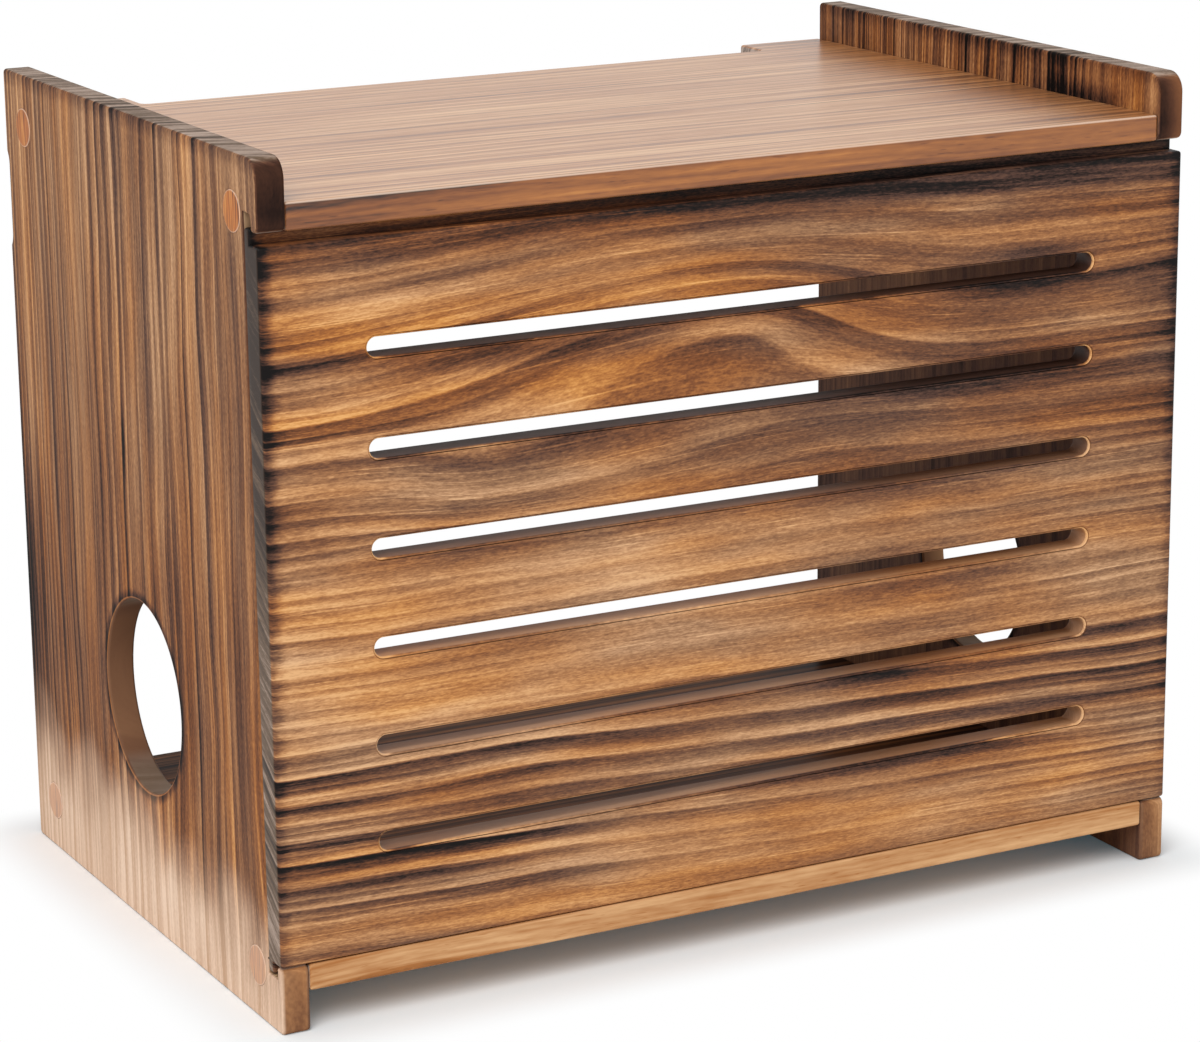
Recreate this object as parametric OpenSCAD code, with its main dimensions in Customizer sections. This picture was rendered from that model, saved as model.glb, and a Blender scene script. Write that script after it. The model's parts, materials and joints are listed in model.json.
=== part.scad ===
// Slatted storage box in torched pine boards, open at the back, with a front panel that lifts out.
// Frame: millimetres, X to the right, Y to the rear, Z up, origin under the middle of the box.

/* [Box] */
// Overall width, across the outer faces of the side panels
box_w = 400; // [320:1:520]
// Overall depth, from the front face to the rear edges
box_d = 262; // [200:1:340]
// Overall height of the side panels
box_h = 330; // [280:1:440]
// Thickness of the side panels
side_t = 11.5; // [11:0.5:18]
// Thickness of the top and bottom boards
board_t = 10.5; // [9:0.5:16]
// Height of the side panels above the top board
rim_h = 16.3; // [8:0.1:28]
// Clear height under the bottom board
under_h = 15.9; // [10:0.1:30]
// Set-back of the top board behind the front face
top_setback = 0.8; // [0:0.1:2]
// Easing radius along the board edges
ease_r = 1.2; // [0.5:0.1:1.5]

/* [Side panels] */
// Radius of the rounded top front corner
horn_r = 8; // [3:0.5:12]
// Radius of the corners just above and below the front panel
lip_r = 3; // [1:0.5:3.5]
// Radius of the rear corners and the foot's front corner
corner_r = 2; // [0.5:0.5:5]
// Diameter of the round cable hole
hole_d = 78; // [30:1:100]
// Height of the cable hole's centre above the ground
hole_z = 97; // [85:1:140]

/* [Front panel] */
// Thickness of the front panel
panel_t = 12; // [11:0.5:16]
// Play behind the front panel
panel_play = 0.3; // [0.2:0.1:0.6]
// Gap that the front panel rests above its ledge
seat_gap = 0.3; // [0.2:0.1:0.6]
// Open gap above the front panel, which lets it lift
lift_gap = 4.8; // [4:0.1:6]
// Gap that is left above the lifted panel
lift_spare = 0.3; // [0.2:0.1:0.6]
// Thickness of the tongues along the panel's top and bottom
tongue_t = 4.4; // [3:0.1:5]
// Reach of the upper tongue into its groove at rest
tongue_hold = 1; // [0.5:0.1:1.5]
// Height by which the lifted lower tongue clears its ledge
tongue_clear = 0.4; // [0.2:0.1:0.8]
// Room in front of the upper tongue
upper_room = 1.8; // [1:0.1:2.5]
// Room in front of the lower tongue
lower_room = 3.6; // [2:0.1:4]
// Spare depth past the tongue in each groove
groove_spare = 0.8; // [0.5:0.1:1.2]
// Radius of the upper groove's front corner
upper_r = 3; // [1:0.5:3]
// Radius of the lower groove's corners
lower_r = 1; // [0.5:0.1:1.5]
// Flat that stays on top of the lip in front of the lower groove
lip_flat = 0.5; // [0.3:0.1:1]

/* [Slots] */
// Number of long slots in the front panel
slot_n = 6; // [2:1:7]
// Height of each slot
slot_h = 7.5; // [5:0.1:12]
// Solid wood between a slot's end and the end of the panel
slot_end = 41.7; // [20:0.1:80]
// Distance from the panel's top shoulder to the first slot's centre
slot_above = 40.6; // [20:0.1:60]
// Distance from the last slot's centre to the panel's bottom shoulder
slot_below = 42.6; // [20:0.1:60]

/* [Cable notch] */
// Depth of the notch in the rear edge of the top board
notch_d = 20.4; // [10:0.1:40]
// Width of the tab left at each end of the notch
notch_tab = 41.3; // [25:0.1:80]
// Radius of the notch's inner corners
notch_r = 3; // [1:0.5:5]

/* [Screws and plugs] */
// Distance of the screws from the front face and the rear edges
screw_inset = 22; // [22:0.5:40]
// Diameter of the screw shanks
screw_d = 4; // [3:0.5:5]
// Diameter of the countersunk screw heads
screw_head_d = 8; // [7:0.5:10]
// Length of the screw inside the board end
screw_grip = 28; // [18:1:40]
// Diameter of the round plugs over the screw heads
plug_d = 15.6; // [12:0.2:17]
// Depth of the plug's seat in the side panel
plug_seat = 4; // [3:0.5:5]
// Height of the plug above the panel's face
plug_proud = 0.3; // [0.1:0.1:0.5]
// Clearance round plugs and screws, on the radius
fit_gap = 0.1; // [0.05:0.05:0.2]

/* [Hangers] */
// Distance of the hanger's middle below the side panel's top
hanger_drop = 53.5; // [50:0.5:90]
// Length of the hanger plate
hanger_l = 28; // [28:1:36]
// Width of the hanger plate
hanger_w = 10; // [9.5:0.1:11]
// Thickness of the hanger plate
hanger_t = 2; // [1.5:0.1:2.5]
// Depth of the plate's face below the rear edge
hanger_sink = 1; // [0.2:0.1:2]
// Room on the mortise's floor past each end of the plate
mortise_room = 0.3; // [0.2:0.1:2]
// Radius of the cutter that leaves the mortise's curved ends
mortise_r = 8.5; // [4:0.5:15]
// Diameter of the keyhole's round part
key_d = 7; // [6:0.1:7.6]
// Width of the keyhole's slot
key_slot_w = 4; // [3:0.1:4.6]
// Rise from the keyhole's round part to the end of its slot
key_rise = 6; // [4:0.5:7]
// Depth of the pocket behind the plate
pocket_d = 8; // [5:0.5:12]
// Width of the pocket beyond the keyhole
pocket_room = 0.6; // [0.2:0.1:1]
// Shank diameter of the hanger screws
hang_screw_d = 2.6; // [2:0.1:3]
// Head diameter of the hanger screws
hang_head_d = 5; // [4.4:0.1:5.4]
// Length of the hanger screws in the wood
hang_grip = 12; // [8:1:20]
// Distance of the hanger screws from the plate's ends
hang_end = 3.5; // [3:0.1:3.8]

/* [Hidden] */
$fn = 64;
// Overshoot of the cuts
over = 0.2;

// Faces of the box
front_y = -box_d / 2;
rear_y = box_d / 2;
inner_x = box_w / 2 - side_t;

// Levels of the two boards
ledge_z = under_h + board_t;
board_top_z = box_h - rim_h;
board_under_z = board_top_z - board_t;

// Front panel: rear face, shoulders, tongue ends and travel
panel_rear_y = front_y + panel_t;
recess_y = panel_rear_y + panel_play;
shoulder_low_z = ledge_z + seat_gap;
shoulder_top_z = board_under_z - lift_gap;
lift_travel = lift_gap - lift_spare;
tongue_low = lift_travel + seat_gap - tongue_clear;
tongue_low_z = shoulder_low_z - tongue_low;
tongue_top_z = board_under_z + tongue_hold;
// Easing of the tongue's edges, held to a quarter of its thickness
tongue_r = min(ease_r, tongue_t / 4);

// Grooves that hold the tongues
upper_w = panel_play + tongue_t + upper_room;
lower_w = panel_play + tongue_t + lower_room;
upper_h = tongue_hold + lift_travel + groove_spare;
lower_h = ledge_z - tongue_low_z + groove_spare;
foot_lip = panel_t + panel_play - lower_w;
foot_r = min(lip_r, foot_lip - lip_flat);

// Slots, spread evenly between the first and the last
slot_pitch = (shoulder_top_z - shoulder_low_z - slot_above - slot_below) / (slot_n - 1);

// Screws: axis heights, distance from the middle and length
screw_z_top = board_top_z - board_t / 2;
screw_z_low = under_h + board_t / 2;
screw_y = rear_y - screw_inset;
side_screw_l = side_t - plug_seat + screw_grip;

// Cross recess: its width as a share of the shank, its reach and depth as shares of the head
drive_width_share = 0.22;
drive_share = 0.6;

// Hanger mortise: middle height, floor, keyhole and screw places
hanger_z = box_h - hanger_drop;
mortise_y = rear_y - hanger_sink - hanger_t;
mortise_l = hanger_l + 2 * mortise_room;
mortise_h = hanger_sink + hanger_t;
hang_screw_l = hanger_t + hang_grip;
hanger_x = box_w / 2 - side_t / 2;
key_z = hanger_z - key_rise / 2;
hang_step = hanger_l / 2 - hang_end;
pocket_w = key_d + pocket_room;

// Sides of the box, with the sign of X, and corners with the signs of Y and of height
SIDES = [["left", -1], ["right", 1]];
CORNERS = [["top_front", -1, 1], ["top_rear", 1, 1], ["bottom_front", -1, -1], ["bottom_rear", 1, -1]];
ENDS = [["upper", 1], ["lower", -1]];

// Colours of the finishes
pine_side = "#8f6743";
pine_board = "#9c6f47";
pine_front = "#94643a";
plug_wood = "#c07a4c";
zinc = "#c9c7be";
black_steel = "#2a2a2a";

// An outline in Y and Z, stretched along X from x0 to x1
module board_along_x(x0, x1) {
    translate([x0, 0, 0]) rotate([90, 0, 90]) linear_extrude(x1 - x0) children();
}

// The sliver that rounds a convex corner; toward gives the way from the corner into the wood
module corner_cut(corner, toward, r) {
    translate(corner) mirror([toward[0] < 0 ? 1 : 0, 0]) mirror([0, toward[1] < 0 ? 1 : 0]) difference() {
        translate([-over, -over]) square(r + over);
        translate([r, r]) circle(r);
    }
}

// A slot outline with round ends, its middle at the origin
module round_slot(length, width) {
    square([length - width, width], center = true);
    for (end = [-1, 1]) translate([end * (length - width) / 2, 0]) circle(width / 2);
}

// Groove above the panel, seen from the side
module upper_groove() {
    difference() {
        translate([recess_y - upper_w, board_under_z - over]) square([upper_w, upper_h + over]);
        corner_cut([recess_y - upper_w, board_under_z + upper_h], [1, -1], upper_r);
    }
}

// Groove below the panel, seen from the side
module lower_groove() {
    difference() {
        translate([recess_y - lower_w, ledge_z - lower_h]) square([lower_w, lower_h + over]);
        corner_cut([recess_y - lower_w, ledge_z - lower_h], [1, 1], lower_r);
        corner_cut([recess_y, ledge_z - lower_h], [-1, 1], lower_r);
    }
}

// Outline of a side panel: horn at the top, recess for the front panel, foot at the bottom
module side_outline() {
    difference() {
        translate([front_y, 0]) square([box_d, box_h]);
        translate([front_y - over, ledge_z]) square([recess_y - front_y + over, board_under_z - ledge_z]);
        upper_groove();
        lower_groove();
        translate([0, hole_z]) circle(hole_d / 2);
        corner_cut([front_y, box_h], [1, -1], horn_r);
        corner_cut([rear_y, box_h], [-1, -1], corner_r);
        corner_cut([rear_y, 0], [-1, 1], corner_r);
        corner_cut([front_y, 0], [1, 1], corner_r);
        corner_cut([front_y, board_under_z], [1, 1], lip_r);
        corner_cut([front_y, ledge_z], [1, -1], foot_r);
    }
}

// Height of a screw's axis: way is 1 at the top board and -1 at the bottom board
function screw_z(way) = way > 0 ? screw_z_top : screw_z_low;

// Place of a right-hand screw's head, with local +Z pointing into the box
module at_screw(corner) {
    translate([box_w / 2 - plug_seat, corner[1] * screw_y, screw_z(corner[2])])
        rotate([0, -90, 0]) children();
}

// Countersunk screw body; grow widens it all round to make its hole
module screw_body(shank_d, head_d, length, grow) {
    cone_h = (head_d - shank_d) / 2;
    cylinder(h = cone_h, r1 = head_d / 2 + grow, r2 = shank_d / 2 + grow);
    cylinder(h = length - shank_d, r = shank_d / 2 + grow);
    translate([0, 0, length - shank_d]) cylinder(h = shank_d + grow, r1 = shank_d / 2 + grow, r2 = grow);
}

// Cross recess in a screw head
module drive_cut(shank_d, head_d) {
    width = shank_d * drive_width_share;
    reach = head_d * drive_share;
    depth = (head_d - shank_d) / 2 * drive_share;
    for (turn = [0, 90]) rotate(turn) translate([-reach / 2, -width / 2, -over])
        cube([reach, width, depth + over]);
}

// Places on the right-hand hanger: local +Z points forward into the wood
module at_hanger(z, y) {
    translate([hanger_x, y, z]) rotate([90, 0, 0]) children();
}

// Mortise, pocket and screw holes of the hanger in the right-hand rear edge
module hanger_cuts() {
    board_along_x(inner_x - over, box_w / 2 + over) {
        translate([mortise_y, hanger_z - mortise_l / 2]) square([mortise_h + over, mortise_l]);
        for (end = ENDS) translate([mortise_y + mortise_r, hanger_z + end[1] * mortise_l / 2])
            circle(mortise_r);
    }
    at_hanger(hanger_z, mortise_y + over) linear_extrude(pocket_d + over) rotate(90)
        round_slot(key_rise + pocket_w, pocket_w);
    for (end = ENDS) at_hanger(hanger_z + end[1] * hang_step, mortise_y + over)
        cylinder(h = hang_grip + hang_screw_d + over, r = hang_screw_d / 2 + fit_gap);
}

// Side panel on the right; the left one is its mirror image
module right_panel_body() {
    difference() {
        board_along_x(inner_x, box_w / 2) side_outline();
        for (corner = CORNERS) at_screw(corner) {
            translate([0, 0, -plug_seat - over]) cylinder(h = plug_seat + over, r = plug_d / 2 + fit_gap);
            screw_body(screw_d, screw_head_d, side_screw_l, fit_gap);
        }
        hanger_cuts();
    }
}

// Mirrors right-hand pieces to the left side of the box
module on_side(sign) {
    mirror([sign < 0 ? 1 : 0, 0, 0]) children();
}

module left_side_panel() {
    color(pine_side) on_side(-1) right_panel_body();
}

module right_side_panel() {
    color(pine_side) right_panel_body();
}

// Pilot holes in both ends of a board: way is 1 for the top board and -1 for the bottom board
module board_screw_holes(way) {
    for (side = SIDES, corner = CORNERS)
        if (corner[2] == way) on_side(side[1]) at_screw(corner)
            screw_body(screw_d, screw_head_d, side_screw_l, fit_gap);
}

module top_board() {
    notch_l = 2 * (inner_x - notch_tab);
    color(pine_board) difference() {
        board_along_x(-inner_x, inner_x) difference() {
            translate([front_y + top_setback, board_under_z]) square([box_d - top_setback, board_t]);
            upper_groove();
            for (way = [[board_under_z, 1], [board_top_z, -1]])
                corner_cut([front_y + top_setback, way[0]], [1, way[1]], ease_r);
        }
        translate([0, rear_y, board_under_z - over]) linear_extrude(board_t + 2 * over) difference() {
            translate([-notch_l / 2, -notch_d]) square([notch_l, notch_d + over]);
            for (end = [-1, 1]) corner_cut([end * notch_l / 2, -notch_d], [-end, 1], notch_r);
        }
        board_screw_holes(1);
    }
}

module bottom_board() {
    color(pine_board) difference() {
        board_along_x(-inner_x, inner_x) difference() {
            translate([front_y, under_h]) square([box_d, board_t]);
            lower_groove();
            corner_cut([front_y, under_h], [1, 1], ease_r);
            corner_cut([front_y, ledge_z], [1, -1], ease_r);
        }
        board_screw_holes(-1);
    }
}

// Outline of the front panel: full thickness between the shoulders, a thin tongue behind each
module panel_outline() {
    difference() {
        union() {
            translate([front_y, shoulder_low_z]) square([panel_t, shoulder_top_z - shoulder_low_z]);
            translate([panel_rear_y - tongue_t, tongue_low_z])
                square([tongue_t, tongue_top_z - tongue_low_z]);
        }
        corner_cut([front_y, shoulder_low_z], [1, 1], ease_r);
        corner_cut([front_y, shoulder_top_z], [1, -1], ease_r);
        for (way = [[tongue_low_z, 1], [tongue_top_z, -1]]) {
            corner_cut([panel_rear_y, way[0]], [-1, way[1]], tongue_r);
            corner_cut([panel_rear_y - tongue_t, way[0]], [1, way[1]], tongue_r);
        }
    }
}

module front_panel() {
    color(pine_front) difference() {
        board_along_x(-box_w / 2, box_w / 2) panel_outline();
        for (i = [0 : slot_n - 1])
            translate([0, panel_rear_y + over, shoulder_top_z - slot_above - i * slot_pitch])
                rotate([90, 0, 0]) linear_extrude(panel_t + 2 * over)
                    round_slot(box_w - 2 * slot_end, slot_h);
    }
}

// Plug over a screw head, with a small chamfer round its face
module screw_plug(corner) {
    chamfer = plug_proud;
    color(plug_wood) at_screw(corner) rotate([180, 0, 0]) {
        cylinder(h = plug_seat, r = plug_d / 2);
        translate([0, 0, plug_seat]) cylinder(h = chamfer, r1 = plug_d / 2, r2 = plug_d / 2 - chamfer);
    }
}

// Wood screw through the side panel into a board's end
module side_screw(corner) {
    color(zinc) at_screw(corner) difference() {
        screw_body(screw_d, screw_head_d, side_screw_l, 0);
        drive_cut(screw_d, screw_head_d);
    }
}

// Keyhole hanger plate, let into the rear edge
module hanger_plate() {
    color(black_steel) difference() {
        translate([hanger_x - hanger_w / 2, mortise_y, hanger_z - hanger_l / 2])
            cube([hanger_w, hanger_t, hanger_l]);
        at_hanger(key_z, rear_y) cylinder(h = mortise_h + over, r = key_d / 2);
        at_hanger(hanger_z, rear_y) linear_extrude(mortise_h + over) rotate(90)
            round_slot(key_rise + key_slot_w, key_slot_w);
        for (end = ENDS) at_hanger(hanger_z + end[1] * hang_step, mortise_y + hanger_t)
            screw_body(hang_screw_d, hang_head_d, hang_screw_l, fit_gap);
    }
}

// Small screw that holds the hanger plate: way is 1 for the upper and -1 for the lower
module hanger_screw(way) {
    color(zinc) at_hanger(hanger_z + way * hang_step, mortise_y + hanger_t) difference() {
        screw_body(hang_screw_d, hang_head_d, hang_screw_l, 0);
        drive_cut(hang_screw_d, hang_head_d);
    }
}

left_side_panel();
right_side_panel();
top_board();
bottom_board();
front_panel();
for (side = SIDES) {
    for (corner = CORNERS) {
        on_side(side[1]) screw_plug(corner);
        on_side(side[1]) side_screw(corner);
    }
    on_side(side[1]) hanger_plate();
    for (end = ENDS)
        on_side(side[1]) hanger_screw(end[1]);
}
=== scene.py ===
import json
import math
from functools import partial

import bmesh
import bpy
from bpy.props import FloatProperty, FloatVectorProperty, IntProperty, PointerProperty
from mathutils import Matrix, Vector


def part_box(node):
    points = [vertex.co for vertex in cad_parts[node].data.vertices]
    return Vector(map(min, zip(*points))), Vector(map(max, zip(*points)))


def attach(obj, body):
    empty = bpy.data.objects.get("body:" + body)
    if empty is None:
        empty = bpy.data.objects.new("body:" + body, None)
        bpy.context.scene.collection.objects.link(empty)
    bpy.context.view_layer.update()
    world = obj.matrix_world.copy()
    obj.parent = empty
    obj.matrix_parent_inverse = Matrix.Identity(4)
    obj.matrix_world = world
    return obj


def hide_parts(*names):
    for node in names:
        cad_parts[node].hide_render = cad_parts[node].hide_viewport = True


bl_info = {
    "name": "Torched Pine Storage Box",
    "version": (1, 0, 0),
    "blender": (4, 5, 0),
    "location": "View3D > Sidebar > Storage Box",
    "description": "Dresses a slatted box: torched pine boards, wooden plugs, steel fittings and a studio",
    "category": "Object",
}

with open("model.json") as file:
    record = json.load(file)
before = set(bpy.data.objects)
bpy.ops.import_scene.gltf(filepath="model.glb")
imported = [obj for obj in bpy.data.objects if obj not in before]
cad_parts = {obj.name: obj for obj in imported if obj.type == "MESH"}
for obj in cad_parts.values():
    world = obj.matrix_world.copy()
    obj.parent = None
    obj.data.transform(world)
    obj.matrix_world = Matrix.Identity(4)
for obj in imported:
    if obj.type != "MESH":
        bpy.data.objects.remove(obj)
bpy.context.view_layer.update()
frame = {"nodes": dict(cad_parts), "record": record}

MM = 0.001
# Two coordinates this close together are the same place
NEAR = 0.01 * MM
# Reach of a cutter past the wood that it cuts
OVER = 1 * MM
# Edges that turn more than this are sharp
SHARP = math.radians(30)

SIDES = ("left", "right")
CORNERS = ("top_front", "top_rear", "bottom_front", "bottom_rear")

# Faces and levels of the box, from the frame
PANEL_LOW, PANEL_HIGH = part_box("front_panel")
SIDE_LOW, SIDE_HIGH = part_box("right_side_panel")
TOP_LOW, TOP_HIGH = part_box("top_board")
BOTTOM_LOW, BOTTOM_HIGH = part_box("bottom_board")
HOLE = next(m for m in frame["record"]["mounts"] if m["name"] == "right_cable_hole")
HOLE_R = HOLE["dims"]["r_mm"] * MM
SLOT_LEVELS = [
    (opening["box_m"][0][2] + opening["box_m"][1][2]) / 2
    for opening in frame["record"]["physics"]["openings"]
    if opening["name"].startswith("vent_slot")
]

# In the finishes, places and sizes are in millimetres, and burn goes from 0, bare wood, to 1, black

# Arches and dips in the front panel's figure:
# place along and up, rise, run to the left, run to the right, spread up and down
FIGURE_HILLS = (
    (-8, 248, 30, 110, 62, 27),
    (5, 284, 9, 130, 110, 18),
    (-108, 203, -10, 34, 60, 15),
    (55, 200, 6, 80, 110, 18),
)

# Scorched patches of the front panel: place along and up, run along, run up and down, and how burnt
SCORCHES = (
    (-100, 250, 48, 5, 0.32),
    (125, 251, 35, 4, 0.28),
    (-88, 214, 36, 5, 0.28),
    (65, 215, 90, 5, 0.26),
    (135, 263, 24, 4, 0.22),
    (-95, 76, 75, 5.5, 0.18),
    (112, 76, 50, 5, 0.18),
    (60, 102, 32, 3, 0.28),
    (-80, 177, 70, 3, 0.22),
    (95, 177, 60, 3, 0.2),
    (-95, 139, 50, 3, 0.2),
    (110, 139, 45, 3, 0.2),
    (-165, 54, 55, 14, 0.18),
    (-90, 42, 40, 4, 0.25),
    (-180, 32, 70, 9, 0.2),
    (-195, 262, 16, 30, 0.1),
    (195, 240, 18, 45, 0.12),
    (190, 45, 26, 20, 0.12),
)

# Growth rings: spacing, how uneven it is, and the strength of the weakest
FRONT_RINGS = (13, 0.8, 0.55)
FRONT_FINE_RINGS = (5.2, 1.2, 0.3)
SIDE_RINGS = (8.5, 2.0, 0.3)
SIDE_FINE_RINGS = (2.8, 1.5, 0.3)
SHELF_RINGS = (7.5, 2.0, 0.2)
# Darkness across one ring, from its sharp pale edge to its late wood
RING_PROFILE = (
    (0.0, 0.5), (0.04, 0.0), (0.25, 0.1), (0.45, 0.45), (0.65, 0.85), (0.85, 1.0), (0.96, 0.95), (1.0, 0.5)
)
# Mean darkness of the rings and of the streaks, about which they are taken
FRONT_RINGS_MEAN = 0.4
RINGS_MEAN = 0.31
FINE_RINGS_MEAN = 0.36
STREAKS_MEAN = 0.5

# Levels between which the front panel's tone and contrast are given, by share of the way up
FRONT_SPAN = (26, 300)
FRONT_TONE = (
    (0.0, 0.23), (0.07, 0.27), (0.14, 0.44), (0.21, 0.39), (0.28, 0.42), (0.315, 0.24), (0.46, 0.25),
    (0.53, 0.27), (0.6, 0.37), (0.69, 0.4), (0.74, 0.35), (0.82, 0.4), (0.91, 0.32), (0.95, 0.4), (1.0, 0.46)
)
FRONT_CONTRAST = (
    (0.0, 0.25), (0.03, 0.5), (0.09, 0.7), (0.28, 0.64), (0.32, 0.26), (0.6, 0.26), (0.7, 0.44), (0.95, 0.44),
    (1.0, 0.4)
)
# The side panels' tone by share of the height, and contrast by share of the way from front to rear
SIDE_TONE = (
    (0.0, 0.4), (0.2, 0.5), (0.3, 0.56), (0.42, 0.54), (0.6, 0.47), (0.75, 0.43), (0.98, 0.4), (1.0, 0.62)
)
SIDE_CONTRAST = (
    (0.0, 0.16), (0.12, 0.16), (0.17, 0.42), (0.28, 0.42), (0.4, 0.3), (0.5, 0.3), (0.54, 0.46), (0.63, 0.46),
    (0.68, 0.22), (0.76, 0.2), (0.8, 0.34), (1.0, 0.36)
)
# Tone of the fronts of the feet and horns, and how much of it shows, by share of the height
HORN_AND_FOOT_TONE = ((0.0, 0.5), (0.05, 0.36), (0.075, 0.24), (0.9, 0.8), (0.94, 0.96), (1.0, 0.84))
HORN_AND_FOOT_SHARE = ((0.07, 0.5), (0.9, 0.85))
# Where a slot's wall lies, by share of the panel's thickness, and its rim, by depth where 1 is 2 mm
SLOT_WALL = ((0.004, 0.0), (0.05, 1.0), (0.94, 1.0), (0.99, 0.0))
SLOT_RIM = ((0.05, 0.0), (0.12, 1.0), (0.6, 1.0), (0.75, 0.0))
# Half the length of a slot, with a little room
SLOT_HALF = 160
# Levels between which looks change from the bottom board's to the top board's
SHELVES = (30, 300)

# Layers of grain: size along, across and through the grain, detail, share, and whether it follows the figure.
# Fibres, pores and hairs, the sizes under 1 mm across, are drawn coarser than real ones, so that they show
FRONT_GRAIN = (
    ((150, 2.6, 40), 4, 0.24, True),
    ((90, 24, 60), 2, 0.46, False),
    ((14, 0.9, 6), 2, 0.26, True),
    ((5, 0.55, 3), 2, 0.24, True),
    ((2, 0.5, 2), 1, 0.42, True),
)
SIDE_GRAIN = (
    ((220, 2.4, 40), 5, 0.76, True),
    ((240, 7, 60), 3, 0.62, True),
    ((160, 36, 60), 2, 0.56, False),
    ((14, 0.9, 6), 2, 0.24, True),
    ((5, 0.55, 3), 2, 0.22, True),
    ((2, 0.5, 2), 1, 0.4, True),
)
SHELF_GRAIN = (
    ((160, 3.0, 40), 4, 0.7, True),
    ((160, 40, 60), 2, 0.3, False),
    ((12, 0.9, 2), 2, 0.34, True),
)
# Waves in the rings of the side panels, with their heights in millimetres as shares
SIDE_WAVES = (
    ((150, 50, 60), 1, 16, False),
    ((60, 16, 60), 1, 3, False),
)

# How burnt the wood is at each step of its colours
BURN_STEPS = (0.0, 0.17, 0.34, 0.52, 0.7, 0.88, 1.0)

# Kinds of node that the materials use most; a tuple also gives the setting that makes it so
COMBINE = "ShaderNodeCombineXYZ"
SEPARATE = "ShaderNodeSeparateXYZ"
NOISE = "ShaderNodeTexNoise"
RAMP = "ShaderNodeValToRGB"
BUMP = "ShaderNodeBump"
PRINCIPLED = "ShaderNodeBsdfPrincipled"
OUTPUT = "ShaderNodeOutputMaterial"
# These take a value, the range that it comes from and, if it isn't 0 to 1, the range that it goes to
RANGE = "ShaderNodeMapRange"
SMOOTH = (RANGE, "interpolation_type", "SMOOTHSTEP")
# These take a factor and the two that it mixes
BLEND = ("ShaderNodeMix", "data_type", "FLOAT")
TINT = ("ShaderNodeMix", "data_type", "RGBA")
MATH = "ShaderNodeMath"
ADD = (MATH, "operation", "ADD")
SUBTRACT = (MATH, "operation", "SUBTRACT")
MULTIPLY = (MATH, "operation", "MULTIPLY")
DIVIDE = (MATH, "operation", "DIVIDE")
MULTIPLY_ADD = (MATH, "operation", "MULTIPLY_ADD")
POWER = (MATH, "operation", "POWER")
MINIMUM = (MATH, "operation", "MINIMUM")
MAXIMUM = (MATH, "operation", "MAXIMUM")
ABSOLUTE = (MATH, "operation", "ABSOLUTE")
ROUND = (MATH, "operation", "ROUND")
FLOOR = (MATH, "operation", "FLOOR")
FRACT = (MATH, "operation", "FRACT")
LESS_THAN = (MATH, "operation", "LESS_THAN")
VECTOR = "ShaderNodeVectorMath"
VECTOR_SUBTRACT = (VECTOR, "operation", "SUBTRACT")
VECTOR_MULTIPLY = (VECTOR, "operation", "MULTIPLY")
VECTOR_MAXIMUM = (VECTOR, "operation", "MAXIMUM")
VECTOR_ABSOLUTE = (VECTOR, "operation", "ABSOLUTE")
VECTOR_DOT = (VECTOR, "operation", "DOT_PRODUCT")
VECTOR_LENGTH = (VECTOR, "operation", "LENGTH")


def linear(code):
    """Turns an sRGB hex colour into linear red, green and blue."""
    parts = [int(code[i:i + 2], 16) / 255 for i in (1, 3, 5)]
    return tuple(c / 12.92 if c <= 0.04045 else ((c + 0.055) / 1.055) ** 2.4 for c in parts)


def length(name, description, millimetres):
    """A length property with its default given in millimetres."""
    return FloatProperty(
        name=name, description=description, default=millimetres * MM, min=0, unit="LENGTH", precision=5
    )


def angle(name, description, degrees):
    """An angle property with its default given in degrees."""
    return FloatProperty(name=name, description=description, default=math.radians(degrees), unit="ROTATION")


def colour(name, description, code):
    """A colour property with its default given as sRGB hex."""
    return FloatVectorProperty(
        name=name, description=description, default=linear(code), min=0, max=1, size=3, subtype="COLOR"
    )


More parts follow.
